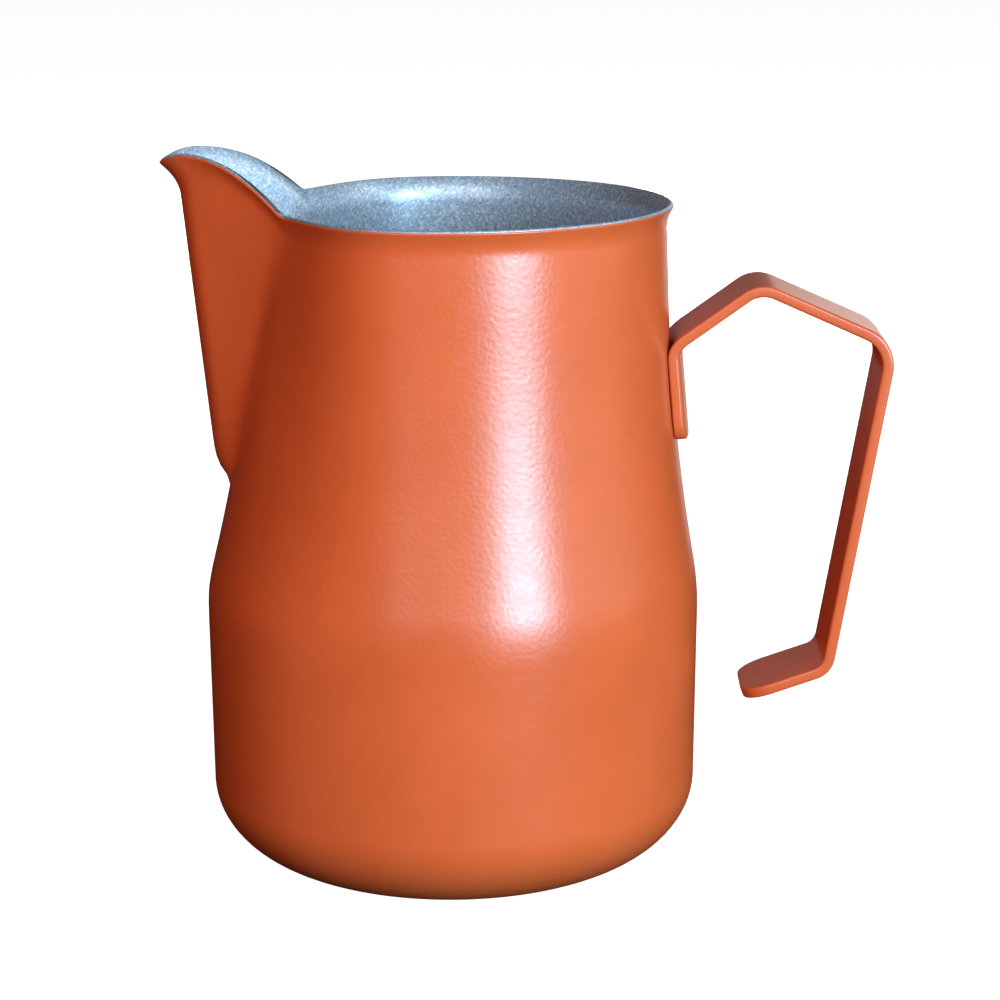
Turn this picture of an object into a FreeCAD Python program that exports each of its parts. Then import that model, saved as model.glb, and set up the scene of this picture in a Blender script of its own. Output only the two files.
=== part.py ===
import FreeCAD, Part
import math
import os
from FreeCAD import Vector

# Milk frothing pitcher for the steam wand of a coffee machine. Millimetres.
# The origin is the centre of the standing face, +Z is up, the spout points along -X and
# the handle along +X. The jug is steel sheet, coated orange outside and grey inside.

# Materials
steel_wall = 0.8           # sheet of the body and of the spout
coat = 0.12                # powder coat outside and on the handle, non-stick coat inside

# Body, outside the coat
rim_height = 118.7
corner_height = 15.0       # the base corner is a quarter ellipse
corner_reach = 19.0
belly_radius = 44.27       # where the upright belly meets the shoulder
belly_height = 50.4
belly_slope = 0.0131       # growth of the radius for each mm of height
shoulder_slope = -0.174
shoulder_round = 9.4       # height over which the belly turns into the shoulder
neck_height = 79.0         # middle of the long bend from shoulder to neck
neck_slope = -0.032
neck_round = 47.8
lip_flare = 1.45           # how far the lip turns out
lip_height = 3.9

# Spout, outside the coat
nose_stand = 9.227         # nose of the beak beyond the turned wall, at the height of the rim
nose_slope = 0.105         # lean of the nose
nose_radius = 7.5          # rounding of the beak, seen from above
beak_half_angle = 36.0     # each flank against the jug's middle plane, degrees
chin_drop = 41.7           # this far below the rim the nose starts to turn in to the wall
chin_turn = 8.0
chin_depth = 2.8           # how far it has turned in after chin_turn
crest_rise = 9.2           # top of the spout's edge over the rim
crest_back = 1.25          # where that top lies, behind the nose
mouth_back = 9.72          # where the spout's edge leaves the rim, inside the turned wall
tip_stand = 3.85           # the tip beyond the nose
tip_droop = 1.7            # the tip lies this much under the crest
tip_flare = 3.1
tip_curl = 5.4             # height over which the tip curls out
tip_half_angle = 13.0      # the curl fades out over this angle
crease_round = 1.2         # softness of the crease between flank and body
mouth_round = 0.9          # softness of the corner where the spout's edge leaves the rim

# Throat: the body is pressed in beside and under the spout
pinch_depth = 5.4
pinch_from = 50.0
pinch_flat = 33.0          # full depth up to this angle from the spout
pinch_end = 78.0

# Butt weld of the spout, ground flush: a V with a round foot, seen along X
weld_width = 1.6
cut_bottom_radius = 6.0
cut_bottom_drop = 6.0      # centre of the round foot under the chin
cut_half_width = 20.0      # at the height of the rim

# Handle strap, bare steel: corners of its outer side before bending, each given as its
# distance out from the wall at the top of the tab and its drop under the rim
strap_width = 17.66
strap_thick = 1.76
strap_edge = 0.4           # rounding of the long edges
tab_gap = 0.35             # the tab stands off the steel wall by this
tab_length = 14.2
tab_drop = 26.7            # the tab follows the wall up to here
tab_corner = 3.0
upper_angle = 35.6         # first run, rising from the tab to the apex
apex = (15.05, 12.5)
shoulder = (39.4, 23.3)
heel = (28.93, 83.35)
foot_angle = -160.8        # the free foot slopes back down to the jug
foot_length = 16.3
foot_corner = 5.0
bend_tab = 5.3             # radii of the outer side of the bends
bend_apex = 6.2
bend_shoulder = 7.1
bend_heel = 4.7

# Spot welds between tab and wall
nugget_radius = 2.4
nugget_bite = 0.4          # how deep each weld reaches into the wall and the strap
nugget_shares = (0.268, 0.746)     # places along the tab

# Stations of the surfaces
corner_rows = 10
bend_steps = 8
run_in = ((0.0, 0.0), (0.7, 0.0), (2.0, 0.0))


def ramp(z, middle, width):
    """Smooth start of a slope: 0 well below middle, z - middle well above it."""
    low = middle - width / 2.0
    if z <= low:
        return 0.0
    if z >= middle + width / 2.0:
        return z - middle
    return (z - low) ** 2 / (2.0 * width)


def soft_max(a, b, blend):
    """The larger of two values, rounded where they come within blend of each other."""
    near = max(0.0, blend - abs(a - b))
    return max(a, b) + near ** 2 / (4.0 * blend)


def wall_radius(z):
    """Radius of the turned body without lip and spout."""
    r = belly_radius + belly_slope * (z - belly_height)
    r += (shoulder_slope - belly_slope) * ramp(z, belly_height, shoulder_round)
    return r + (neck_slope - shoulder_slope) * ramp(z, neck_height, neck_round)


neck_at_rim = wall_radius(rim_height)
nose_at_rim = neck_at_rim + nose_stand
crest_reach = nose_at_rim - crest_back
mouth_reach = neck_at_rim - mouth_back
tip_reach = nose_at_rim + tip_stand
crest_height = rim_height + crest_rise
chin_height = rim_height - chin_drop
cut_bottom_height = chin_height - cut_bottom_drop
tab_top = rim_height - tab_drop
tab_bottom = tab_top - tab_length


def pinch(angle, z):
    """How far the throat is pressed in, angle in degrees from the spout."""
    depth = pinch_depth * max(0.0, (z - pinch_from) / (rim_height - pinch_from))
    share = (abs(angle) - pinch_flat) / (pinch_end - pinch_flat)
    share = min(1.0, max(0.0, share))
    return depth * 0.5 * (1.0 + math.cos(math.pi * share))


def nose_reach(z):
    reach = nose_at_rim + nose_slope * (z - rim_height)
    below = max(0.0, chin_height - z)
    return reach - chin_depth * min(4.0, (below / chin_turn) ** 3)


def beak_radius(angle, z):
    """Outline of the spout seen from above: a V with a round nose, as a polar radius."""
    a = math.radians(abs(angle))
    half = math.radians(beak_half_angle)
    centre = nose_reach(z) - nose_radius
    round_end = math.atan2(nose_radius * math.cos(half), centre + nose_radius * math.sin(half))
    if a <= round_end:
        return centre * math.cos(a) + math.sqrt(nose_radius ** 2 - (centre * math.sin(a)) ** 2)
    return (centre * math.sin(half) + nose_radius) / math.sin(a + half)


def plain_radius(angle, z):
    """Outer radius of body and spout before the lip is turned out."""
    body = wall_radius(z) - pinch(angle, z)
    if abs(angle) > 90.0 - beak_half_angle:
        return body
    return soft_max(body, beak_radius(angle, z), crease_round)


def tip_share(angle):
    """1 at the tip of the spout, 0 beyond the curl."""
    share = min(1.0, abs(angle) / tip_half_angle)
    return 0.5 * (1.0 + math.cos(math.pi * share))


def lip(angle, below):
    """How far the edge is turned out at a depth below it."""
    t = tip_share(angle)
    flare = lip_flare + (tip_flare - lip_flare) * t
    height = lip_height + (tip_curl - lip_height) * t
    return flare * max(0.0, 1.0 - below / height) ** 2


def crest(reach):
    """Height of the edge over a point this far towards the spout."""
    rise = crest_height - rim_height
    if reach > crest_reach:
        return crest_height - tip_droop * ((reach - crest_reach) / (tip_reach - crest_reach)) ** 2
    share = (crest_reach - reach) / (crest_reach - mouth_reach)
    return soft_max(rim_height, rim_height + rise * (1.0 - share ** 2), mouth_round)


def edge_height(angle):
    """Height of the jug's edge at an angle from the spout."""
    if abs(angle) > 60.0:
        return rim_height
    z = rim_height
    for _ in range(30):
        reach = (plain_radius(angle, z) + lip(angle, 0.0)) * math.cos(math.radians(angle))
        z = 0.5 * (z + crest(reach))
    return z


def angles():
    """Stations round the jug, close together at the spout."""
    out = []
    a = -180.0
    while a < 180.0 - 1e-6:
        out.append(a)
        middle = abs(a + 0.3)
        a += 7.5 if middle > 90.0 else (2.5 if middle > 45.0 else (1.25 if middle > 30.0 else 0.75))
    return out


def heights():
    """Shares of the wall's height, close together at the chin and under the lip."""
    out = []
    z = corner_height
    while z < rim_height - 0.3:
        out.append((z - corner_height) / (rim_height - corner_height))
        z += 4.5 if z < 58.0 else (1.5 if z < 82.0 else (4.0 if z < 108.0 else 0.75))
    return out + [1.0]


def place(angle, r, z):
    a = math.radians(angle)
    return Vector(-r * math.cos(a), -r * math.sin(a), z)


def wall_point(angle, z, top):
    return place(angle, plain_radius(angle, z) + lip(angle, top - z), z)


def corner_point(angle, turn, depth):
    """Point of the base corner, turn from 0 on the standing face to 90 degrees at the wall."""
    t = math.radians(turn)
    centre = wall_radius(corner_height) - corner_reach
    normal = Vector(math.sin(t) / corner_reach, 0, -math.cos(t) / corner_height).normalize()
    r = centre + corner_reach * math.sin(t) - depth * normal.x
    return place(angle, r, corner_height * (1.0 - math.cos(t)) - depth * normal.z)


def inset_wall_point(angle, z, depth):
    """Point of the wall moved inwards by depth."""
    d = 0.05
    top = edge_height(angle)
    here = wall_point(angle, z, top)
    across = wall_point(angle + d, z, edge_height(angle + d))
    across -= wall_point(angle - d, z, edge_height(angle - d))
    along = here - wall_point(angle, z - d, top)
    return here - across.cross(along).normalize() * depth


def layer_points(depth, trim=0.0):
    """Rows of points from the standing face to the edge, inset by depth, trim below the edge."""
    rows = []
    for row in range(corner_rows):
        rows.append([corner_point(a, 90.0 * row / corner_rows, depth) for a in angles()])
    for share in heights():
        line = []
        for a in angles():
            rise = edge_height(a) - trim - corner_height
            line.append(inset_wall_point(a, corner_height + rise * share, depth))
        rows.append(line)
    return rows


def spaced(points):
    """Parameters from 0 to 1 in step with the distance between points."""
    out = [0.0]
    for a, b in zip(points, points[1:]):
        out.append(out[-1] + a.distanceToPoint(b))
    return [s / out[-1] for s in out]


def closed_surface(rows):
    """C2 surface through rows of points that run round the axis."""
    around = spaced(rows[-1] + rows[-1][:1])
    up = spaced([row[0] for row in rows])
    curves = []
    for row in rows:
        curve = Part.BSplineCurve()
        curve.interpolate(Points=row, Parameters=around, PeriodicFlag=True)
        curves.append(curve)
    columns = []
    for i in range(curves[0].NbPoles):
        curve = Part.BSplineCurve()
        curve.interpolate(Points=[c.getPole(i + 1) for c in curves], Parameters=up)
        columns.append(curve)
    poles = [column.getPoles() for column in columns]
    surface = Part.BSplineSurface()
    surface.buildFromPolesMultsKnots(
        poles, curves[0].getMultiplicities(), columns[0].getMultiplicities(),
        curves[0].getKnots(), columns[0].getKnots(), True, False, 3, 3)
    return surface


def edge_of(surface, top):
    """Closed edge of a layer at its foot or at its top."""
    u0, u1, v0, v1 = surface.bounds()
    return surface.vIso(v1 if top else v0).toShape()


def disc(edge):
    return Part.Face(Part.Wire([edge]))


def solid_of(faces):
    shell = Part.Shell(faces)
    shell.sewShape()
    solid = Part.Solid(shell)
    if solid.Volume < 0:
        solid.reverse()
    return solid


def jug_layers():
    """Outer coat, steel and inner coat, each as one closed shell."""
    face_0 = closed_surface(layer_points(0.0))
    face_1 = closed_surface(layer_points(coat, coat))
    face_2 = closed_surface(layer_points(coat + steel_wall, coat))
    face_3 = closed_surface(layer_points(2 * coat + steel_wall))
    top_0 = edge_of(face_0, True)
    top_1 = edge_of(face_1, True)
    top_2 = edge_of(face_2, True)
    top_3 = edge_of(face_3, True)
    foot_0 = edge_of(face_0, False)
    foot_1 = edge_of(face_1, False)
    ruled = Part.makeRuledSurface
    join = ruled(top_0, top_1)
    outer = solid_of([face_0.toShape(), face_1.toShape(), join, ruled(foot_0, foot_1)])
    steel = solid_of([face_1.toShape(), face_2.toShape(), ruled(top_1, top_2), disc(foot_0),
                      ruled(foot_0, foot_1), disc(edge_of(face_2, False))])
    inner = solid_of([face_2.toShape(), face_3.toShape(), ruled(top_1, top_2), join,
                      ruled(top_0, top_3), disc(edge_of(face_2, False)),
                      disc(edge_of(face_3, False))])
    return outer, steel, inner


def spout_cut(grow):
    """Prism along X through the front of the jug, with the outline of the spout's seam."""
    radius = cut_bottom_radius + grow
    rise = rim_height - cut_bottom_height
    slant = math.atan2(rise, cut_half_width)
    slant -= math.acos(cut_bottom_radius / math.hypot(rise, cut_half_width))
    side = (radius * math.cos(slant), cut_bottom_height + radius * math.sin(slant))
    above_all = crest_height + 10.0
    up = above_all - side[1]
    wide = side[0] - up * math.tan(slant)
    start = -tip_reach - 10.0

    def at(y, z):
        return Vector(start, y, z)

    foot = Part.Arc(at(side[0], side[1]), at(0, cut_bottom_height - radius), at(-side[0], side[1]))
    edges = [Part.LineSegment(at(wide, above_all), at(*side)).toShape(),
             foot.toShape(),
             Part.LineSegment(at(-side[0], side[1]), at(-wide, above_all)).toShape(),
             Part.LineSegment(at(-wide, above_all), at(wide, above_all)).toShape()]
    return Part.Face(Part.Wire(edges)).extrude(Vector(-start - 15.0, 0, 0))


def heading(degrees):
    a = math.radians(degrees)
    return Vector(math.cos(a), 0, math.sin(a))


def left_of(direction):
    return Vector(-direction.z, 0, direction.x)


def meet(p, d, q, e):
    """Where the line from p along d meets the line from q along e, in the XZ plane."""
    w = q - p
    return p + d * ((w.x * e.z - w.z * e.x) / (d.x * e.z - d.z * e.x))


def strap_corners():
    """Corners of the strap's outer side: tab, tab bend, apex, shoulder, heel, foot."""
    stand = tab_gap - coat
    low = Vector(wall_radius(tab_bottom) + stand, 0, tab_bottom)
    high = Vector(wall_radius(tab_top) + stand, 0, tab_top)
    wall = wall_radius(tab_top)
    top, far, end = [Vector(wall + out, 0, rim_height - drop) for out, drop in (apex, shoulder, heel)]
    bend = meet(low, high - low, top, heading(upper_angle))
    return [low, bend, top, far, end, end + heading(foot_angle) * foot_length]


def strap_stations(grow):
    """Points along the strap's outer side, each with its normal, curl round the jug and narrowing."""
    c = strap_corners()
    c[0] -= (c[1] - c[0]).normalize() * grow
    c[5] += (c[5] - c[4]).normalize() * grow
    radii = (0.0, bend_tab, bend_apex, bend_shoulder, bend_heel, 0.0)
    heads = [(c[i + 1] - c[i]).normalize() for i in range(5)]
    turns = [0.0] + [heads[i].getAngle(heads[i + 1]) for i in range(4)] + [0.0]
    cut = [radii[i] * math.tan(turns[i] / 2.0) for i in range(6)]
    hug = 1.0 / wall_radius(tab_top)
    out = []
    for i in range(5):
        length = (c[i + 1] - c[i]).Length - cut[i] - cut[i + 1]
        start = c[i] + heads[i] * cut[i]
        curl = hug if i == 0 else 0.0
        first = rounding(tab_corner + grow) if i == 0 else run_in
        last = rounding(foot_corner + grow) if i == 4 else run_in
        for reach, narrow in first:
            out.append((start + heads[i] * reach, left_of(heads[i]), curl, narrow))
        for reach, narrow in reversed(last):
            out.append((start + heads[i] * (length - reach), left_of(heads[i]), curl, narrow))
        if i == 4:
            break
        centre = start + heads[i] * length - left_of(heads[i]) * radii[i + 1]
        for step in range(1, bend_steps):
            share = step / bend_steps
            a = math.atan2(heads[i].z, heads[i].x) - turns[i + 1] * share
            normal = left_of(Vector(math.cos(a), 0, math.sin(a)))
            curl = hug * 0.5 * (1.0 + math.cos(math.pi * share)) if i == 0 else 0.0
            out.append((centre + normal * radii[i + 1], normal, curl, 0.0))
    return out


def rounding(radius):
    """Distances from a free end and how much narrower the strap is there on each side."""
    turns = [math.radians(15.0 * i) for i in range(7)]
    out = [(radius * (1.0 - math.cos(t)), radius * (1.0 - math.sin(t))) for t in turns]
    return out + [(radius + reach, 0.0) for reach, _ in run_in[1:]]


def strap_loop(grow):
    """Points round the strap's cross-section: side (1 or -1), distance from that side, depth."""
    e = strap_edge + grow
    outer, inner = grow, -strap_thick - grow
    middle = 0.5 * (outer + inner)
    quarter = [(0.0, middle), (0.0, outer - 1.4 * e)]
    for turn in (0.0, 30.0, 60.0, 90.0):
        t = math.radians(turn)
        quarter.append((e * (1.0 - math.cos(t)), outer - e * (1.0 - math.sin(t))))
    quarter += [(1.5 * e, outer), (2.5 * e, outer), (5.0 * e, outer)]
    out = [(1, y, d) for y, d in quarter] + [(1, None, outer)]
    out += [(-1, y, d) for y, d in reversed(quarter)]
    mirrored = [(y, 2.0 * middle - d) for y, d in quarter[1:]]
    out += [(-1, y, d) for y, d in mirrored] + [(-1, None, inner)]
    return out + [(1, y, d) for y, d in reversed(mirrored)]


def strap(grow=0.0):
    """The bent strap, grown by grow on every side."""
    rows = []
    for point, normal, curl, narrow in strap_stations(grow):
        half = strap_width / 2.0 + grow - narrow
        row = []
        for side, inward, depth in strap_loop(grow):
            y = 0.0 if inward is None else side * (half - inward)
            row.append(point + normal * (depth + 0.5 * curl * y * y) + Vector(0, y, 0))
        rows.append(row)
    skin = closed_surface(rows)
    return solid_of([skin.toShape(), disc(edge_of(skin, False)), disc(edge_of(skin, True))])


def spot_welds():
    """Weld nuggets that bridge the gap between the steel wall and the tab."""
    out = []
    for share in nugget_shares:
        z = tab_bottom + share * tab_length
        start = wall_radius(z) - coat - nugget_bite
        length = tab_gap + 2.0 * nugget_bite
        out.append(Part.makeCylinder(nugget_radius, length, Vector(start, 0, z), Vector(1, 0, 0)))
    return out


def pieces():
    outer_coat, steel, inner_coat = jug_layers()
    seam = spout_cut(weld_width)
    hole = spout_cut(0.0)
    nuggets = Part.makeCompound(spot_welds())
    bare_strap = strap()
    return {
        "body_shell": steel.cut(seam).cut(nuggets),
        "spout_shell": steel.common(hole),
        "spout_weld": steel.common(seam.cut(hole)),
        "handle_strap": bare_strap.cut(nuggets),
        "handle_spot_welds": nuggets,
        "outer_coat": outer_coat.cut(nuggets),
        "inner_coat": inner_coat,
        "handle_coat": strap(coat).cut(bare_strap).cut(nuggets),
    }


os.makedirs("parts", exist_ok=True)
for name, shape in pieces().items():
    shape.exportStep("parts/" + name + ".step")
    print(name, len(shape.Solids), round(shape.Volume, 1))
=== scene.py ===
import math

import bpy
from mathutils import Matrix, Vector


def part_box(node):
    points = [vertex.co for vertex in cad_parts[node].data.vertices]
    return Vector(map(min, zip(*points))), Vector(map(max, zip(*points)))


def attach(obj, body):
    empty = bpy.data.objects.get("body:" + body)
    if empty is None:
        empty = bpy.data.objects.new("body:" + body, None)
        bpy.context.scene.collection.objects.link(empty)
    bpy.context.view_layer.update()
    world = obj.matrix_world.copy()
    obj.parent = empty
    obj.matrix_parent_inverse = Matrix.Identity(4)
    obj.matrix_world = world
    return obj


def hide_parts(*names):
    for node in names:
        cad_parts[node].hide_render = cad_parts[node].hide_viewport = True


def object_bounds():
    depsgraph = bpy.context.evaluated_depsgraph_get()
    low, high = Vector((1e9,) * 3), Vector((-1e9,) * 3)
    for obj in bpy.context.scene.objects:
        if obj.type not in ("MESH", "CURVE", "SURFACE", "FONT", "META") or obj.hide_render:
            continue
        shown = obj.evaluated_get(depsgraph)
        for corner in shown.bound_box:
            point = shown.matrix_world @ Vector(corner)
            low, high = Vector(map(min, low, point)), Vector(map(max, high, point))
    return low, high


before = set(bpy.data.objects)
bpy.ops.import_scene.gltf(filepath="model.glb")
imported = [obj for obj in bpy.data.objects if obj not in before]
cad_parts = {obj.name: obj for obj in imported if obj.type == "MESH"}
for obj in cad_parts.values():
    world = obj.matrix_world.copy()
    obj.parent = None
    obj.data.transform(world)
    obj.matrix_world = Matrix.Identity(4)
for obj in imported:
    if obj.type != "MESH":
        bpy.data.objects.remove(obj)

# Milk frothing pitcher: orange powder-coated steel jug with a grey non-stick inside.
# Shapes are worked out in millimetres and built in metres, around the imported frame.

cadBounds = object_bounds()
mm = 0.001

for leftover in ("Cube", "Light", "Camera"):
    if leftover in bpy.data.objects:
        bpy.data.objects.remove(bpy.data.objects[leftover])

view = {
    "place": (0.0179, -0.5092, 0.18287),
    "turn": 0.018327,      # radians about the upright
    "dip": 0.226902,       # radians below level
    "roll": -0.003825,
    "lens": 104.48,
    "sensor": 36.0,
}


def addCamera():
    data = bpy.data.cameras.new("studioCamera")
    data.lens = view["lens"]
    data.sensor_width = view["sensor"]
    data.clip_start = 0.01
    camera = bpy.data.objects.new("studioCamera", data)
    turn = Matrix.Rotation(view["turn"], 4, "Z")
    dip = Matrix.Rotation(math.pi / 2 - view["dip"], 4, "X")
    roll = Matrix.Rotation(view["roll"], 4, "Z")
    camera.matrix_world = Matrix.Translation(view["place"]) @ turn @ dip @ roll
    bpy.context.scene.collection.objects.link(camera)
    bpy.context.scene.camera = camera


addCamera()
print("camera placed")

jug = {
    "steelWall": 0.8,
    "coat": 0.12,
    "rimHeight": 118.7,
    "cornerHeight": 15.0,      # the base corner is a quarter ellipse
    "cornerReach": 19.0,
    "bellyRadius": 44.27,
    "bellyHeight": 50.4,
    "bellySlope": 0.0131,
    "shoulderSlope": -0.174,
    "shoulderRound": 9.4,
    "neckHeight": 79.0,
    "neckSlope": -0.032,
    "neckRound": 47.8,
    "lipFlare": 1.45,
    "lipHeight": 3.9,
    "edgeRound": 0.3,          # rounding of the sheet's cut edge
}

stations = {
    # steps round the jug in degrees, close together at the spout
    "backStep": 2.5,
    "sideStep": 1.25,
    "spoutStep": 0.625,
    "sideFrom": 47.5,
    "backFrom": 90.0,
    "cornerStep": 4,           # degrees of the base corner
    "edgeStep": 15,            # degrees of every small rounded edge
    # up to each height in millimetres, the rows lie this far apart
    "rowSteps": ((43.0, 2.5), (58.0, 0.9), (106.0, 1.6)),
    "lastRowStep": 0.55,
    "belowEdge": 0.7,          # the rows of the wall end this far under the edge
    "probe": 0.05,             # small step that gives the wall's direction
    "floorRings": (0.15, 0.3, 0.45, 0.6, 0.75, 0.9),
    "skinThick": 0.08,         # thinner than the coat, so that it never meets the steel
}

spout = {
    "noseAtRim": 47.25,
    "noseSlope": 0.105,
    "noseRadius": 7.5,
    "halfAngle": 36.0,
    "chinHeight": 77.0,
    "chinTurn": 8.0,
    "chinDepth": 2.8,
    "crestHeight": 127.9,
    "crestReach": 46.0,
    "mouthReach": 28.3,
    "tipReach": 51.1,
    "tipDroop": 1.7,
    "tipFlare": 3.1,
    "tipCurl": 5.4,
    "tipHalfAngle": 13.0,
    "creaseRound": 1.2,
    "mouthRound": 0.9,
    "pinchDepth": 5.4,         # the throat is pressed in beside the spout
    "pinchFrom": 50.0,
    "pinchFlat": 33.0,
    "pinchEnd": 78.0,
}


def ramp(z, middle, width):
    low = middle - width / 2
    if z <= low:
        return 0.0
    if z >= middle + width / 2:
        return z - middle
    return (z - low) ** 2 / (2 * width)


def softMax(a, b, blend):
    near = max(0.0, blend - abs(a - b))
    return max(a, b) + near ** 2 / (4 * blend)


def wallRadius(z):
    # belly, shoulder and neck are three straight cones with rounded turns between them
    intoShoulder = ramp(z, jug["bellyHeight"], jug["shoulderRound"])
    intoNeck = ramp(z, jug["neckHeight"], jug["neckRound"])
    r = jug["bellyRadius"] + jug["bellySlope"] * (z - jug["bellyHeight"])
    r += (jug["shoulderSlope"] - jug["bellySlope"]) * intoShoulder
    return r + (jug["neckSlope"] - jug["shoulderSlope"]) * intoNeck


def pinch(angle, z):
    start = spout["pinchFrom"]
    depth = spout["pinchDepth"] * max(0.0, (z - start) / (jug["rimHeight"] - start))
    share = (abs(angle) - spout["pinchFlat"]) / (spout["pinchEnd"] - spout["pinchFlat"])
    share = min(1.0, max(0.0, share))
    return depth * 0.5 * (1 + math.cos(math.pi * share))


def noseReach(z):
    reach = spout["noseAtRim"] + spout["noseSlope"] * (z - jug["rimHeight"])
    below = max(0.0, spout["chinHeight"] - z)
    return reach - spout["chinDepth"] * min(4.0, (below / spout["chinTurn"]) ** 3)


def beakRadius(angle, z):
    # a V with a round nose, seen from above
    a = math.radians(abs(angle))
    half = math.radians(spout["halfAngle"])
    radius = spout["noseRadius"]
    centre = noseReach(z) - radius
    roundEnd = math.atan2(radius * math.cos(half), centre + radius * math.sin(half))
    if a <= roundEnd:
        return centre * math.cos(a) + math.sqrt(radius ** 2 - (centre * math.sin(a)) ** 2)
    return (centre * math.sin(half) + radius) / math.sin(a + half)


def plainRadius(angle, z):
    body = wallRadius(z) - pinch(angle, z)
    if abs(angle) > 90 - spout["halfAngle"]:
        return body
    return softMax(body, beakRadius(angle, z), spout["creaseRound"])


def lip(angle, below):
    share = 0.5 * (1 + math.cos(math.pi * min(1.0, abs(angle) / spout["tipHalfAngle"])))
    flare = jug["lipFlare"] + (spout["tipFlare"] - jug["lipFlare"]) * share
    height = jug["lipHeight"] + (spout["tipCurl"] - jug["lipHeight"]) * share
    return flare * max(0.0, 1 - below / height) ** 2


def crest(reach):
    rim = jug["rimHeight"]
    if reach > spout["crestReach"]:
        share = (reach - spout["crestReach"]) / (spout["tipReach"] - spout["crestReach"])
        return spout["crestHeight"] - spout["tipDroop"] * share ** 2
    share = (spout["crestReach"] - reach) / (spout["crestReach"] - spout["mouthReach"])
    rise = spout["crestHeight"] - rim
    return softMax(rim, rim + rise * (1 - share ** 2), spout["mouthRound"])


def edgeHeight(angle):
    if abs(angle) > 60:
        return jug["rimHeight"]
    z = jug["rimHeight"]
    for _ in range(30):
        reach = (plainRadius(angle, z) + lip(angle, 0.0)) * math.cos(math.radians(angle))
        z = 0.5 * (z + crest(reach))
    return z


def place(angle, r, z):
    a = math.radians(angle)
    return Vector((-r * math.cos(a), -r * math.sin(a), z))


def wallPoint(angle, z, top):
    return place(angle, plainRadius(angle, z) + lip(angle, top - z), z)


def cornerPoint(angle, turn, depth):
    t = math.radians(turn)
    reach, height = jug["cornerReach"], jug["cornerHeight"]
    centre = wallRadius(height) - reach
    normal = Vector((math.sin(t) / reach, 0, -math.cos(t) / height)).normalized()
    r = centre + reach * math.sin(t) - depth * normal.x
    return place(angle, r, height * (1 - math.cos(t)) - depth * normal.z)


def columns():
    # angles of the stations round the jug, with the spout at zero
    out = []
    a = -180.0
    while a < 180 - 1e-6:
        out.append(a)
        ahead = abs(a + 0.3)       # near the middle of the coming step
        if ahead > stations["backFrom"]:
            a += stations["backStep"]
        elif ahead > stations["sideFrom"]:
            a += stations["sideStep"]
        else:
            a += stations["spoutStep"]
    return out


def rowStep(z):
    for top, step in stations["rowSteps"]:
        if z < top:
            return step
    return stations["lastRowStep"]


def heights():
    # shares of the wall's height from the base corner to just below the edge
    low, high = jug["cornerHeight"], jug["rimHeight"]
    out = []
    z = low
    while z < high - stations["belowEdge"]:
        out.append((z - low) / (high - low))
        z += rowStep(z)
    return out


def jugRows():
    # three families of rows: outside, inside and the two halves of the rounded cut edge
    delta = stations["probe"]
    wall = 2 * jug["coat"] + jug["steelWall"]
    radius = jug["edgeRound"]
    angles = columns()
    tops = {}
    for a in angles:
        tops[a] = [edgeHeight(a - delta), edgeHeight(a), edgeHeight(a + delta)]
    outside, inside = [], []
    for turn in range(0, 90, stations["cornerStep"]):
        outside.append([cornerPoint(a, turn, 0.0) for a in angles])
        inside.append([cornerPoint(a, turn, wall) for a in angles])
    low = jug["cornerHeight"]
    for share in heights():
        outerLine, innerLine = [], []
        for a in angles:
            before, top, after = tops[a]
            z = low + (top - low) * share
            here = wallPoint(a, z, top)
            across = wallPoint(a + delta, z, after) - wallPoint(a - delta, z, before)
            along = here - wallPoint(a, z - delta, top)
            outerLine.append(here)
            innerLine.append(here - across.cross(along).normalized() * wall)
        outside.append(outerLine)
        inside.append(innerLine)
    steps = [math.radians(t) for t in range(0, 91, stations["edgeStep"])]
    outerEdge = [(radius * (math.sin(t) - 1), radius * (1 - math.cos(t))) for t in steps]
    innerEdge = [(radius * (math.sin(t) - 1), wall - radius * (1 - math.cos(t))) for t in steps]
    innerEdge.append((0.0, radius))
    frames = []
    for a in angles:
        before, top, after = tops[a]
        here = wallPoint(a, top, top)
        flat = wallPoint(a + delta, top, top) - wallPoint(a - delta, top, top)
        normal = flat.cross(here - wallPoint(a, top - delta, top)).normalized()
        edge = wallPoint(a + delta, after, after) - wallPoint(a - delta, before, before)
        edge -= normal * edge.dot(normal)
        frames.append((here, normal, normal.cross(edge).normalized()))
    for rise, depth in outerEdge:
        outside.append([here + up * rise - normal * depth for here, normal, up in frames])
    for rise, depth in innerEdge:
        inside.append([here + up * rise - normal * depth for here, normal, up in frames])
    return outside, inside


def skin(name, rows, inward=False, pole=None):
    # a mesh over rows that run round the jug; pole closes the first row
    count = len(rows[0])
    points = [p * mm for row in rows for p in row]
    faces = []
    for r in range(len(rows) - 1):
        for i in range(count):
            j = (i + 1) % count
            faces.append((r * count + i, r * count + j, (r + 1) * count + j, (r + 1) * count + i))
    if pole is not None:
        points.append(pole * mm)
        faces += [(len(points) - 1, (i + 1) % count, i) for i in range(count)]
    if inward:
        faces = [tuple(reversed(f)) for f in faces]
    mesh = bpy.data.meshes.new(name)
    mesh.from_pydata(points, [], faces)
    mesh.update()
    mesh.shade_smooth()
    piece = bpy.data.objects.new(name, mesh)
    bpy.context.scene.collection.objects.link(piece)
    return piece


def settle(piece):
    # the evaluated shape becomes the piece's own plain mesh
    bpy.context.view_layer.update()
    done = piece.evaluated_get(bpy.context.evaluated_depsgraph_get())
    mesh = bpy.data.meshes.new_from_object(done)
    piece.modifiers.clear()
    piece.data = mesh
    mesh.name = piece.name
    return piece


def thicken(piece, thickness):
    solid = piece.modifiers.new("thickness", "SOLIDIFY")
    solid.thickness = thickness * mm
    solid.offset = -1
    solid.use_even_offset = True
    return settle(piece)


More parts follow.
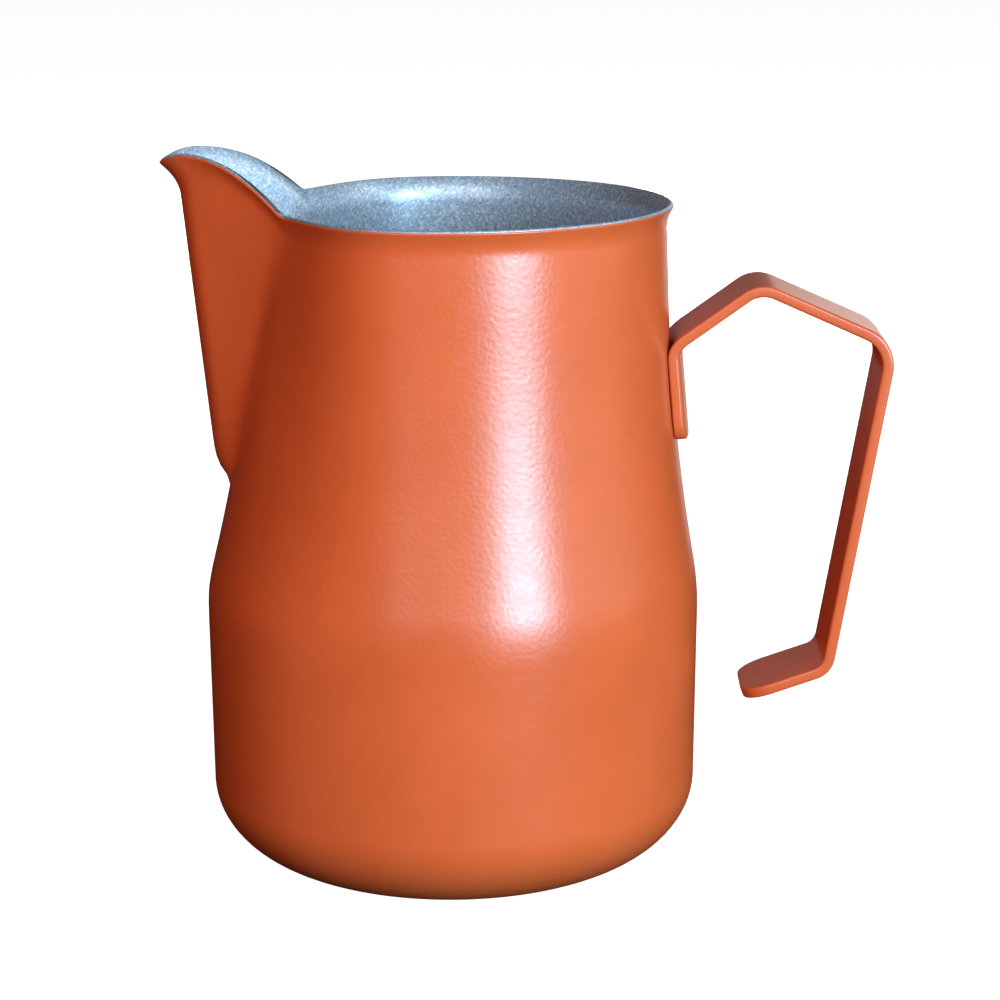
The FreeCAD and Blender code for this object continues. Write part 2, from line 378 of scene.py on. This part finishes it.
outsideRows, insideRows = jugRows()
floorRings = []
for share in stations["floorRings"]:
    floorRings.append([Vector((p.x * share, p.y * share, p.z)) for p in insideRows[0]])
outerSkin = thicken(skin("outerPowderCoat", outsideRows), stations["skinThick"])
floorMiddle = Vector((0, 0, insideRows[0][0].z))
innerSkin = skin("innerNonStick", floorRings + insideRows, True, floorMiddle)
innerSkin = thicken(innerSkin, stations["skinThick"])
print("jug skins built:", len(outerSkin.data.polygons), len(innerSkin.data.polygons))

handle = {
    # millimetres; a corner is its reach from the jug's axis and its height
    "width": 17.66,
    "thick": 1.76,
    "edge": 0.4,
    "endRound": 0.45,          # softness of the coated ends
    "tabGap": 0.35,
    "tabBottom": 77.8,
    "tabTop": 92.0,
    "tabCorner": 3.0,
    "upperAngle": 35.6,
    "apex": (54.1, 106.2),
    "shoulder": (78.45, 95.4),
    "heel": (67.98, 35.35),
    "footAngle": -160.8,
    "footLength": 16.3,
    "footCorner": 5.0,
    "bends": (5.3, 6.2, 7.1, 4.7),     # tab, apex, shoulder, heel
    "spacing": 1.2,            # millimetres between stations on a straight run
    "bendSteps": 14,
    "widthSteps": 14,
}


def heading(degrees):
    a = math.radians(degrees)
    return Vector((math.cos(a), 0, math.sin(a)))


def leftOf(direction):
    return Vector((-direction.z, 0, direction.x))


def meet(p, d, q, e):
    w = q - p
    return p + d * ((w.x * e.z - w.z * e.x) / (d.x * e.z - d.z * e.x))


def strapCorners():
    stand = handle["tabGap"] - jug["coat"]
    low = Vector((wallRadius(handle["tabBottom"]) + stand, 0, handle["tabBottom"]))
    high = Vector((wallRadius(handle["tabTop"]) + stand, 0, handle["tabTop"]))
    top = Vector((handle["apex"][0], 0, handle["apex"][1]))
    bend = meet(low, high - low, top, heading(handle["upperAngle"]))
    shoulder = Vector((handle["shoulder"][0], 0, handle["shoulder"][1]))
    heel = Vector((handle["heel"][0], 0, handle["heel"][1]))
    foot = heel + heading(handle["footAngle"]) * handle["footLength"]
    return [low, bend, top, shoulder, heel, foot]


def endStations(corner):
    # distances from a free end with how much narrower and thinner the strap is there
    soft = handle["endRound"]
    reaches = [soft * (1 - math.cos(math.radians(15 * i))) for i in range(7)]
    reaches += [corner * (1 - math.cos(math.radians(t))) for t in range(30, 91, 6)]
    out = []
    for reach in reaches:
        narrow = corner - math.sqrt(max(0.0, corner ** 2 - (corner - reach) ** 2))
        thin = soft - math.sqrt(max(0.0, soft ** 2 - max(0.0, soft - reach) ** 2))
        out.append((reach, narrow + thin, thin))
    return out


def strapStations():
    # point on the strap's outer side, outward normal, curl round the jug, narrowing, thinning
    grow = jug["coat"]
    c = strapCorners()
    c[0] -= (c[1] - c[0]).normalized() * grow
    c[5] += (c[5] - c[4]).normalized() * grow
    radii = (0.0,) + handle["bends"] + (0.0,)
    heads = [(c[i + 1] - c[i]).normalized() for i in range(5)]
    turns = [0.0] + [heads[i].angle(heads[i + 1]) for i in range(4)] + [0.0]
    cut = [radii[i] * math.tan(turns[i] / 2) for i in range(6)]
    hug = 1 / wallRadius(handle["tabTop"])
    tabEnd = endStations(handle["tabCorner"] + grow)
    footEnd = endStations(handle["footCorner"] + grow)
    out = []
    for i in range(5):
        length = (c[i + 1] - c[i]).length - cut[i] - cut[i + 1]
        start = c[i] + heads[i] * cut[i]
        curl = hug if i == 0 else 0.0
        first = tabEnd if i == 0 else [(0.0, 0.0, 0.0)]
        last = footEnd if i == 4 else [(0.0, 0.0, 0.0)]
        inner = length - first[-1][0] - last[-1][0]
        steps = max(2, int(inner / handle["spacing"]))
        runs = list(first)
        runs += [(first[-1][0] + inner * k / steps, 0.0, 0.0) for k in range(1, steps)]
        runs += [(length - reach, narrow, thin) for reach, narrow, thin in reversed(last)]
        for reach, narrow, thin in runs:
            out.append((start + heads[i] * reach, leftOf(heads[i]), curl, narrow, thin))
        if i == 4:
            break
        centre = start + heads[i] * length - leftOf(heads[i]) * radii[i + 1]
        for k in range(1, handle["bendSteps"]):
            share = k / handle["bendSteps"]
            a = math.atan2(heads[i].z, heads[i].x) - turns[i + 1] * share
            normal = leftOf(Vector((math.cos(a), 0, math.sin(a))))
            curl = hug * 0.5 * (1 + math.cos(math.pi * share)) if i == 0 else 0.0
            out.append((centre + normal * radii[i + 1], normal, curl, 0.0, 0.0))
    return out


def polyline(name, points, closed, columnsOf=None):
    mesh = bpy.data.meshes.new(name)
    edges = [(i, i + 1) for i in range(len(points) - 1)]
    if closed:
        edges.append((len(points) - 1, 0))
    mesh.from_pydata(points, edges, [])
    for label, (kind, values) in (columnsOf or {}).items():
        attribute = mesh.attributes.new(label, kind, "POINT")
        flat = [x for v in values for x in v] if kind == "FLOAT_VECTOR" else values
        attribute.data.foreach_set("vector" if kind == "FLOAT_VECTOR" else "value", flat)
    piece = bpy.data.objects.new(name, mesh)
    bpy.context.scene.collection.objects.link(piece)
    return piece


def strapPath():
    half = handle["thick"] / 2
    stops = strapStations()
    middles = [(p - normal * half) * mm for p, normal, _, _, _ in stops]
    return polyline("handlePath", middles, False, {
        "middle": ("FLOAT_VECTOR", middles),
        "outward": ("FLOAT_VECTOR", [s[1] for s in stops]),
        "curl": ("FLOAT", [s[2] / mm for s in stops]),
        "narrow": ("FLOAT", [s[3] * mm for s in stops]),
        "thin": ("FLOAT", [s[4] * mm for s in stops]),
    })


def strapProfile():
    # rounded rectangle, width along X and thickness along Y
    grow = jug["coat"]
    halfWide = handle["width"] / 2 + grow
    halfThick = handle["thick"] / 2 + grow
    e = handle["edge"] + grow
    loop = []
    for quarter, (sx, sy) in enumerate(((1, 1), (-1, 1), (-1, -1), (1, -1))):
        for k in range(7):
            t = math.radians(90 * quarter + 15 * k)
            across = sx * (halfWide - e) + e * math.cos(t)
            loop.append((across, sy * (halfThick - e) + e * math.sin(t)))
        if quarter in (0, 2):
            span = halfWide - e
            count = handle["widthSteps"]
            loop += [(sx * span * (1 - 2 * k / count), sy * halfThick) for k in range(1, count)]
        else:
            loop.append((sx * halfWide, 0.0))
    return polyline("handleProfile", [Vector((x, y, 0)) * mm for x, y in loop], True)


def strapTree(finish):
    tree = bpy.data.node_groups.new("bentStrap", "GeometryNodeTree")
    face = tree.interface
    face.new_socket("Geometry", in_out="INPUT", socket_type="NodeSocketGeometry")
    sockets = {}
    for label, kind in (("Profile", "NodeSocketObject"), ("Half width", "NodeSocketFloat"),
                        ("Half thickness", "NodeSocketFloat")):
        sockets[label] = face.new_socket(label, in_out="INPUT", socket_type=kind)
    face.new_socket("Geometry", in_out="OUTPUT", socket_type="NodeSocketGeometry")
    link = tree.links.new

    def node(kind, **values):
        made = tree.nodes.new(kind)
        for key, value in values.items():
            setattr(made, key, value)
        return made

    def attribute(name, kind):
        made = node("GeometryNodeInputNamedAttribute", data_type=kind)
        made.inputs["Name"].default_value = name
        return made.outputs["Attribute"]

    def maths(operation, a, b=None):
        made = node("ShaderNodeMath", operation=operation)
        for socket, value in zip(made.inputs, (a, b)):
            if value is None:
                continue
            if isinstance(value, (int, float)):
                socket.default_value = value
            else:
                link(value, socket)
        return made.outputs[0]

    def vectors(operation, a, b):
        made = node("ShaderNodeVectorMath", operation=operation)
        link(a, made.inputs[0])
        link(b, made.inputs["Scale"] if operation == "SCALE" else made.inputs[1])
        return made.outputs["Value"] if operation == "DOT_PRODUCT" else made.outputs["Vector"]

    source = node("NodeGroupInput")
    profile = node("GeometryNodeObjectInfo")
    link(source.outputs["Profile"], profile.inputs["Object"])
    path = node("GeometryNodeMeshToCurve")
    link(source.outputs["Geometry"], path.inputs["Mesh"])
    loop = node("GeometryNodeMeshToCurve")
    link(profile.outputs["Geometry"], loop.inputs["Mesh"])
    sweep = node("GeometryNodeCurveToMesh")
    sweep.inputs["Fill Caps"].default_value = True
    link(path.outputs["Curve"], sweep.inputs["Curve"])
    link(loop.outputs["Curve"], sweep.inputs["Profile Curve"])

    middle = attribute("middle", "FLOAT_VECTOR")
    outward = attribute("outward", "FLOAT_VECTOR")
    position = node("GeometryNodeInputPosition").outputs[0]
    offset = vectors("SUBTRACT", position, middle)
    split = node("ShaderNodeSeparateXYZ")
    link(offset, split.inputs[0])
    keepWidth = maths("SUBTRACT", 1.0, maths("DIVIDE", attribute("narrow", "FLOAT"),
                                              source.outputs["Half width"]))
    keepThick = maths("SUBTRACT", 1.0, maths("DIVIDE", attribute("thin", "FLOAT"),
                                              source.outputs["Half thickness"]))
    side = maths("MULTIPLY", split.outputs["Y"], keepWidth)
    depth = maths("MULTIPLY", vectors("DOT_PRODUCT", offset, outward), keepThick)
    bow = maths("MULTIPLY", maths("MULTIPLY", side, side), attribute("curl", "FLOAT"))
    depth = maths("ADD", depth, maths("MULTIPLY", bow, 0.5))
    across = node("ShaderNodeCombineXYZ")
    link(side, across.inputs["Y"])
    target = vectors("ADD", vectors("ADD", middle, vectors("SCALE", outward, depth)),
                     across.outputs[0])
    shape = node("GeometryNodeSetPosition")
    link(sweep.outputs["Mesh"], shape.inputs["Geometry"])
    link(target, shape.inputs["Position"])
    real = node("GeometryNodeRealizeInstances")
    link(shape.outputs["Geometry"], real.inputs["Geometry"])
    painted = node("GeometryNodeSetMaterial")
    painted.inputs["Material"].default_value = finish
    link(real.outputs["Geometry"], painted.inputs["Geometry"])
    result = node("NodeGroupOutput")
    link(painted.outputs["Geometry"], result.inputs["Geometry"])
    return tree, sockets


def buildHandle(finish):
    piece = strapPath()
    piece.name = "handlePowderCoat"
    profile = strapProfile()
    tree, sockets = strapTree(finish)
    sweep = piece.modifiers.new("bentStrap", "NODES")
    sweep.node_group = tree
    sweep[sockets["Profile"].identifier] = profile
    sweep[sockets["Half width"].identifier] = (handle["width"] / 2 + jug["coat"]) * mm
    sweep[sockets["Half thickness"].identifier] = (handle["thick"] / 2 + jug["coat"]) * mm
    settle(piece)
    bpy.data.objects.remove(profile)
    for face in piece.data.polygons:
        face.use_smooth = len(face.vertices) == 4
    for label in ("middle", "outward", "curl", "narrow", "thin"):
        if label in piece.data.attributes:
            piece.data.attributes.remove(piece.data.attributes[label])
    return piece


class Finish:
    # one Principled material with short calls for its nodes

    def __init__(self, name, **values):
        self.material = bpy.data.materials.new(name)
        self.material.use_nodes = True
        self.tree = self.material.node_tree
        self.shader = self.tree.nodes["Principled BSDF"]
        for key, value in values.items():
            self.shader.inputs[key].default_value = value
        self.place = self.tree.nodes.new("ShaderNodeTexCoord").outputs["Object"]

    def node(self, kind, links=None, **values):
        made = self.tree.nodes.new(kind)
        for key, value in values.items():
            if hasattr(made, key):
                setattr(made, key, value)
            else:
                made.inputs[key.replace("_", " ")].default_value = value
        for key, source in (links or {}).items():
            self.tree.links.new(source, made.inputs[key])
        return made

    def noise(self, size, detail=2.0, roughness=0.5, place=None):
        # size is the width of one grain in millimetres
        made = self.node("ShaderNodeTexNoise", {"Vector": place or self.place},
                         Scale=1 / (size * mm), Detail=detail, Roughness=roughness)
        return made.outputs["Fac"]

    def span(self, source, low, high, newLow=0.0, newHigh=1.0):
        made = self.node("ShaderNodeMapRange", {"Value": source}, From_Min=low, From_Max=high,
                         To_Min=newLow, To_Max=newHigh)
        return made.outputs["Result"]

    def mix(self, factor, a, b):
        made = self.tree.nodes.new("ShaderNodeMix")
        made.data_type = "RGBA"
        # a colour mix has its factor at 0 and its two colours at 6 and 7
        sockets = (made.inputs[0], made.inputs[6], made.inputs[7])
        for socket, value in zip(sockets, (factor, a, b)):
            if isinstance(value, (float, int)):
                socket.default_value = value
            elif isinstance(value, tuple):
                socket.default_value = (*value, 1.0)
            else:
                self.tree.links.new(value, socket)
        return made.outputs[2]

    def bump(self, height, strength, distance):
        made = self.node("ShaderNodeBump", {"Height": height}, Strength=strength,
                         Distance=distance * mm)
        return made.outputs["Normal"]

    def feed(self, **sources):
        for key, source in sources.items():
            self.tree.links.new(source, self.shader.inputs[key.replace("_", " ")])
        return self.material


powder = {
    "deep": (0.62, 0.101, 0.025),
    "bright": (0.68, 0.116, 0.031),
    "cloudSize": 22.0,
    "roughSize": 3.0,
    "roughness": (0.285, 0.325),   # lower values rendered with dark marks
    "refraction": 1.6,
    "peelSize": 0.75,          # orange peel of the powder coat, millimetres
    "peelHeight": 0.028,
}


def orangeCoat():
    f = Finish("orangePowderCoat", Metallic=0.0, IOR=powder["refraction"])
    cloud = f.noise(powder["cloudSize"], 3.0, 0.55)
    peel = f.noise(powder["peelSize"], 1.0, 0.35)
    colour = f.mix(f.span(cloud, 0.3, 0.7), powder["deep"], powder["bright"])
    patches = f.noise(powder["roughSize"], 3.0)
    rough = f.span(patches, 0.3, 0.7, *powder["roughness"])
    normal = f.bump(peel, 1.0, powder["peelHeight"])
    return f.feed(Base_Color=colour, Roughness=rough, Normal=normal)


nonStick = {
    "dark": (0.22, 0.28, 0.35),
    "middle": (0.42, 0.52, 0.63),
    "light": (0.72, 0.86, 1.0),
    "speckSize": 0.36,         # millimetres
    "coarseShare": 1.6,        # the larger specks against the fine ones
    "roughness": (0.34, 0.44),
    "metallic": 0.5,
    "grainHeight": 0.01,
}


def greyCoat():
    f = Finish("greyNonStickCoat", Metallic=nonStick["metallic"], IOR=1.5)
    fine = f.noise(nonStick["speckSize"], 2.0, 0.6)
    coarse = f.noise(nonStick["speckSize"] * nonStick["coarseShare"], 2.0, 0.6)
    colour = f.mix(f.span(fine, 0.34, 0.5), nonStick["dark"], nonStick["middle"])
    colour = f.mix(f.span(coarse, 0.48, 0.68, 0.0, 0.8), colour, nonStick["light"])
    rough = f.span(fine, 0.3, 0.7, *nonStick["roughness"])
    normal = f.bump(fine, 0.5, nonStick["grainHeight"])
    return f.feed(Base_Color=colour, Roughness=rough, Normal=normal)


sheet = {
    "dark": (0.44, 0.43, 0.42),
    "light": (0.66, 0.65, 0.63),
    "cloud": (0.52, 0.50, 0.47),
    "cloudSize": 9.0,
    "lineSize": 0.12,
    "lineStretch": (1.0, 0.04, 1.0),
    "lineHeight": 0.004,
    "roughness": (0.29, 0.44),
}


def bareSteel():
    f = Finish("brushedSteel", Metallic=1.0, Roughness=0.34)
    stretch = f.node("ShaderNodeMapping", {"Vector": f.place})
    stretch.inputs["Scale"].default_value = sheet["lineStretch"]
    lines = f.noise(sheet["lineSize"], 3.0, 0.6, stretch.outputs[0])
    cloud = f.noise(sheet["cloudSize"], 3.0)
    colour = f.mix(f.span(lines, 0.3, 0.7), sheet["dark"], sheet["light"])
    colour = f.mix(f.span(cloud, 0.4, 0.7, 0.0, 0.3), colour, sheet["cloud"])
    rough = f.span(lines, 0.3, 0.7, *sheet["roughness"])
    normal = f.bump(lines, 0.3, sheet["lineHeight"])
    return f.feed(Base_Color=colour, Roughness=rough, Normal=normal)


bead = {
    "dark": (0.33, 0.31, 0.29),
    "light": (0.55, 0.53, 0.50),
    "heat": (0.36, 0.30, 0.22),
    "grainSize": 0.6,
    "heatSize": 2.5,
    "grainHeight": 0.02,
    "roughness": (0.35, 0.6),
}


def weldMetal():
    f = Finish("weldMetal", Metallic=1.0, Roughness=0.45)
    grain = f.noise(bead["grainSize"], 3.0, 0.6)
    heat = f.noise(bead["heatSize"], 2.0)
    colour = f.mix(f.span(grain, 0.3, 0.7), bead["dark"], bead["light"])
    colour = f.mix(f.span(heat, 0.45, 0.7, 0.0, 0.5), colour, bead["heat"])
    rough = f.span(grain, 0.3, 0.7, *bead["roughness"])
    normal = f.bump(grain, 0.5, bead["grainHeight"])
    return f.feed(Base_Color=colour, Roughness=rough, Normal=normal)


orange = orangeCoat()
grey = greyCoat()
steel = bareSteel()
weld = weldMetal()
handleSkin = buildHandle(orange)
print("handle built:", len(handleSkin.data.polygons))

for piece, finish in ((outerSkin, orange), (innerSkin, grey)):
    piece.data.materials.clear()
    piece.data.materials.append(finish)

cadFinish = {
    "body_shell": steel,
    "spout_shell": steel,
    "handle_strap": steel,
    "spout_weld": weld,
    "handle_spot_welds": weld,
}
for node, finish in cadFinish.items():
    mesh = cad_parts[node].data
    if not mesh.materials:
        mesh.materials.append(finish)
    for i in range(len(mesh.materials)):
        mesh.materials[i] = finish

for piece, node, slot in (
        (outerSkin, "outer_coat", "orange_coat"),
        (innerSkin, "inner_coat", "grey_coat"),
        (handleSkin, "handle_coat", "orange_coat")):
    low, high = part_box(node)
    corners = [Vector(v.co) for v in piece.data.vertices]
    for axis in range(3):
        lowest = min(c[axis] for c in corners) - low[axis]
        highest = max(c[axis] for c in corners) - high[axis]
        print(f"{piece.name} axis {axis} against the frame:",
              f"{lowest / mm:.3f} {highest / mm:.3f} mm")
    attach(piece, "root")
    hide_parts(node)

studio = {
    "ambient": 0.015,
    "ambientTint": (1.0, 0.36, 0.20),
    "floorColour": (0.93, 0.93, 0.93),
    "floorGlow": 1.03,
    "floorSize": 12.0,
    "floorGap": 0.05,          # millimetres under the jug, so that the two never coincide
    "aim": (0, 0, 0.06),       # every lamp points here
    "lights": {
        # degrees from the front, height, distance, width, tall, watts, colour, seen in gloss
        "windowBox": (34.5, 0.172, 0.80, 0.29, 0.25, 8.6, (0.50, 0.79, 1.0), True),
        "secondBox": (-22.0, 0.20, 0.80, 0.20, 0.20, 0.3, (0.74, 0.88, 1.0), True),
        "softBox": (6.0, 0.60, 1.20, 1.30, 0.90, 8.9, (1.0, 1.0, 1.0), True),
        "rightBox": (80.0, 0.45, 1.10, 0.90, 0.90, 4.2, (1.0, 1.0, 1.0), True),
        "edgeBox": (160.0, 0.15, 0.70, 0.12, 0.50, 0.25, (1.0, 0.9, 0.85), True),
        "wallBox": (180.0, 0.35, 1.20, 1.80, 0.90, 0.9, (1.0, 1.0, 1.0), True),
        "backBox": (180.0, 0.16, 1.00, 0.30, 0.30, 4.0, (1.0, 0.97, 0.94), False),
        "spoutBox": (-45.0, 0.15, 0.26, 0.12, 0.12, 0.15, (1.0, 0.32, 0.18), False),
    },
}


def addStudio():
    scene = bpy.context.scene
    scene.view_settings.view_transform = "Standard"
    scene.view_settings.look = "None"
    world = bpy.data.worlds.new("studioWorld")
    scene.world = world
    world.use_nodes = True
    tree = world.node_tree
    backdrop = tree.nodes["Background"]
    rays = tree.nodes.new("ShaderNodeLightPath")
    level = tree.nodes.new("ShaderNodeMapRange")
    level.inputs["To Min"].default_value = studio["ambient"]
    level.inputs["To Max"].default_value = 1.0
    tree.links.new(rays.outputs["Is Camera Ray"], level.inputs["Value"])
    tree.links.new(level.outputs["Result"], backdrop.inputs["Strength"])
    warmth = tree.nodes.new("ShaderNodeMix")
    warmth.data_type = "RGBA"
    warmth.inputs[6].default_value = (*studio["ambientTint"], 1)
    warmth.inputs[7].default_value = (1, 1, 1, 1)
    tree.links.new(rays.outputs["Is Camera Ray"], warmth.inputs[0])
    tree.links.new(warmth.outputs[2], backdrop.inputs["Color"])
    aim = Vector(studio["aim"])
    for name, values in studio["lights"].items():
        azimuth, height, distance, width, tall, power, tint, gloss = values
        data = bpy.data.lights.new(name, "AREA")
        data.shape = "RECTANGLE"
        data.size, data.size_y = width, tall
        data.energy = power
        data.color = tint
        lamp = bpy.data.objects.new(name, data)
        lamp.visible_glossy = gloss
        a = math.radians(azimuth)
        lamp.location = (distance * math.sin(a), -distance * math.cos(a), height)
        lamp.rotation_euler = (aim - lamp.location).to_track_quat("-Z", "Y").to_euler()
        scene.collection.objects.link(lamp)
    floorHeight = cadBounds[0][2] - studio["floorGap"] * mm
    bpy.ops.mesh.primitive_plane_add(size=studio["floorSize"], location=(0, 0, floorHeight))
    floor = bpy.context.object
    floor.name = "studioFloor"
    f = Finish("paleFloor", Roughness=0.9)
    grain = f.noise(4.0, 2.0)
    tone = studio["floorColour"]
    f.shader.inputs["Emission Color"].default_value = (*tone, 1.0)
    f.shader.inputs["Emission Strength"].default_value = studio["floorGlow"]
    f.feed(Base_Color=f.mix(f.span(grain, 0.3, 0.7), tone, tuple(0.985 * c for c in tone)))
    floor.data.materials.append(f.material)
    floor.visible_diffuse = False
    floor.visible_glossy = False


addStudio()
print("studio built")
